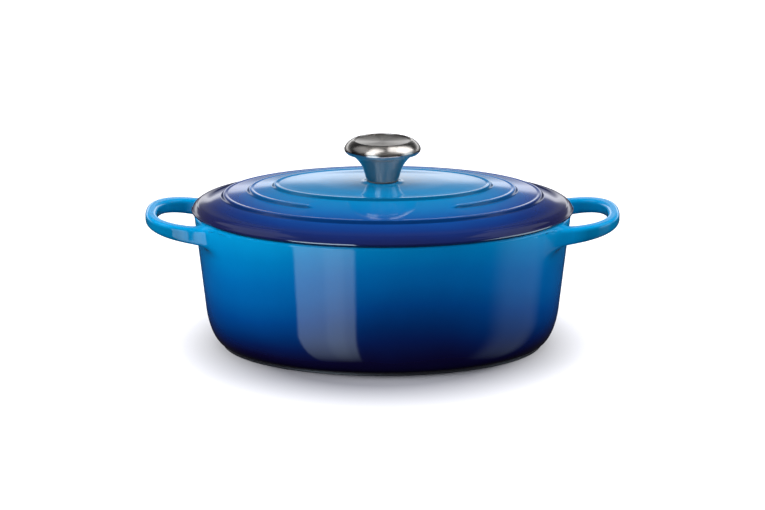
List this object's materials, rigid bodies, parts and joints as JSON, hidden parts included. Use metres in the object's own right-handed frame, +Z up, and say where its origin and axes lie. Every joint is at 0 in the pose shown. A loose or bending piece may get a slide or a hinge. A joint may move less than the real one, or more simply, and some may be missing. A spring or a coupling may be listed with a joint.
{
  "type": "oval enamelled cast iron dutch oven",
  "caption": "Oval enamelled cast iron pot with two loop handles and a stepped, lift-off lid whose stainless steel knob is screwed on from below.",
  "frame": {"origin": "on the table, at the middle of the flat base", "axes": "+X along the long side through both loop handles, +Z up, -Y to the front"},
  "size_m": [0.3518, 0.2194, 0.1557],
  "materials": {
    "pot_enamel": "glossy vitreous enamel over cast iron, azure at the rim shading to near-black blue at the base; sand enamel inside",
    "lid_enamel": "glossy vitreous enamel over cast iron, azure at the middle shading to violet navy at the edge; sand enamel below",
    "stainless": "fine circular brushing, semi-gloss",
    "brushed_cap": "circular brushing that shows as a sunburst",
    "insert_brass": "turned brass",
    "gasket": "matt black silicone",
    "washer_steel": "stamped stainless steel",
    "spring_steel": "dark spring steel",
    "screw_steel": "turned stainless steel"
  },
  "bodies": {
    "pot": {"pot": "pot_enamel"},
    "lid": {"lid": "lid_enamel", "knob_shell": "stainless", "knob_cap": "brushed_cap", "knob_insert": "insert_brass", "knob_gasket": "gasket"},
    "washers": {"flat_washer": "washer_steel", "lock_washer": "spring_steel"},
    "screw": {"knob_screw": "screw_steel"}
  },
  "joints": [
    {"name": "lid_lift", "type": "slide", "parent": "pot", "child": "lid", "axis": [0, 0, 1], "range_m": [0, 0.12]},
    {"name": "washer_drop", "type": "slide", "parent": "lid", "child": "washers", "axis": [0, 0, -1], "range_m": [0, 0.009]},
    {"name": "screw_turn", "type": "hinge", "parent": "washers", "child": "screw", "pos_m": [0, 0, 0.1148], "axis": [0, 0, -1], "range_deg": [0, 3240]}
  ],
  "couplings": [
    {"joint": "screw_turn", "follows": "washer_drop", "rad_per_m": 6283.2}
  ]
}
